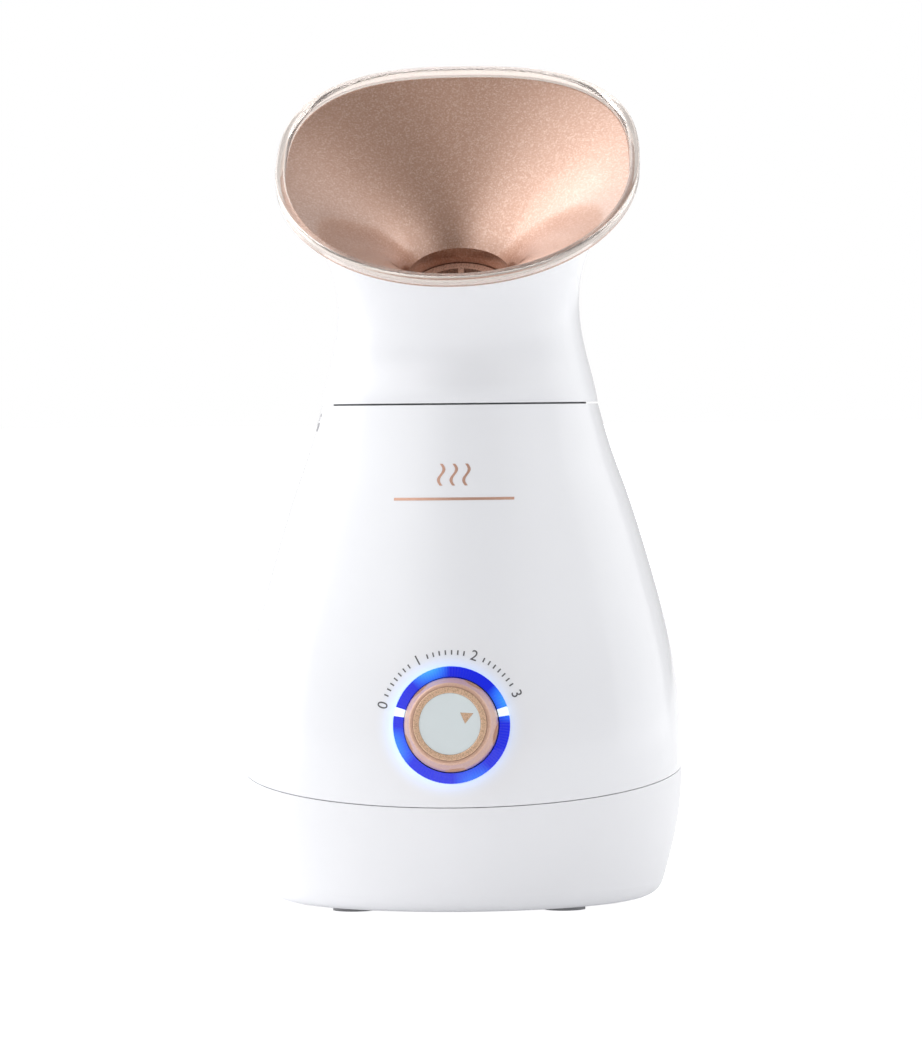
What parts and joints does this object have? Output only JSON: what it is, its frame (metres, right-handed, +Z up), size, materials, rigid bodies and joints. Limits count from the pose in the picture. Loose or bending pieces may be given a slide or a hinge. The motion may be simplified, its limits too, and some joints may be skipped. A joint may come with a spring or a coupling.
{
  "type": "facial steamer",
  "caption": "Countertop facial steamer with a white pear-shaped casing, a flared rose gold steam funnel that twists off, a lit rotary knob, a water tank and a lift-out towel tray.",
  "frame": {"origin": "centre of the plane that the feet stand on, on the casing's axis of revolution", "axes": "+Z up, -Y towards the user (the knob and the lower edge of the funnel face -Y), +X to the right as seen by the user"},
  "size_m": [0.15, 0.1613, 0.2883],
  "materials": {
    "white_gloss_shell": "glossy white ABS",
    "white_satin_base": "satin white ABS",
    "silicone": "translucent grey silicone",
    "foot_rubber": "soft grey silicone",
    "zinc_screw": "zinc-plated steel",
    "black_nylon": "black nylon",
    "clear_tank": "pale grey heat-resistant plastic",
    "stainless": "brushed stainless steel",
    "cast_aluminium": "cast aluminium",
    "circuit_board": "green solder mask",
    "component_black": "black moulded case",
    "component_blue": "blue moulded case",
    "ceramic_white": "white ceramic and nylon",
    "tray_plastic": "white heat-resistant plastic",
    "rose_gold_paint": "satin rose gold metallic paint under clear gloss",
    "clear_plastic": "clear glossy plastic",
    "felt": "white wool felt",
    "lit_blue_plastic": "translucent blue, lit from behind",
    "rose_knob": "satin rose gold plated plastic",
    "rose_trim": "champagne rose gold plated plastic",
    "dial_grey": "pale grey printed dial"
  },
  "bodies": {
    "housing": {"base_shell": "white_satin_base", "body_shell": "white_gloss_shell", "feet": "foot_rubber", "housing_screws": "zinc_screw", "cord_gland": "black_nylon", "gland_nut": "black_nylon", "tank": "clear_tank", "tank_floor": "clear_tank", "tank_seal": "silicone", "tank_collar": "tray_plastic", "tank_screws": "zinc_screw", "plate_seal": "silicone", "heating_plate": "stainless", "heater_element": "cast_aluminium", "plate_clamp": "stainless", "clamp_screws": "zinc_screw", "thermostat": "component_black", "thermal_fuse": "ceramic_white", "control_board": "circuit_board", "board_screws": "zinc_screw", "relay": "component_blue", "capacitors": "component_black", "terminal_block": "ceramic_white", "light_ring": "lit_blue_plastic", "led_board": "circuit_board", "switch_body": "component_black", "switch_nut": "stainless", "switch_bracket": "stainless", "bracket_screws": "zinc_screw"},
    "seal_ring": {"head_seal": "silicone"},
    "head": {"head_shell": "white_gloss_shell", "funnel_cone": "rose_gold_paint", "clear_rim": "clear_plastic", "coupling_ring": "tray_plastic", "head_screws": "zinc_screw", "steam_duct": "tray_plastic", "aroma_basket": "rose_knob", "aroma_pad": "felt"},
    "tray": {"towel_tray": "tray_plastic"},
    "knob": {"knob": "rose_knob", "knob_trim": "rose_trim", "knob_dial": "dial_grey", "knob_pointer": "rose_trim", "switch_shaft": "stainless"}
  },
  "joints": [
    {"name": "head_lift", "type": "slide", "parent": "housing", "child": "seal_ring", "axis": [0, 0, 1], "range_m": [0, 0.15]},
    {"name": "head_turn", "type": "hinge", "parent": "seal_ring", "child": "head", "pos_m": [0, 0, 0.17], "axis": [0, 0, 1], "range_deg": [0, 25]},
    {"name": "tray_lift", "type": "slide", "parent": "housing", "child": "tray", "axis": [0, 0, 1], "range_m": [0, 0.0675]},
    {"name": "knob_turn", "type": "hinge", "parent": "housing", "child": "knob", "pos_m": [0, -0.0745, 0.0645], "axis": [0, -0.9945, 0.1045], "range_deg": [0, 141]}
  ],
  "couplings": [
    {"joint": "tray_lift", "follows": "head_lift", "ratio": 0.45}
  ]
}
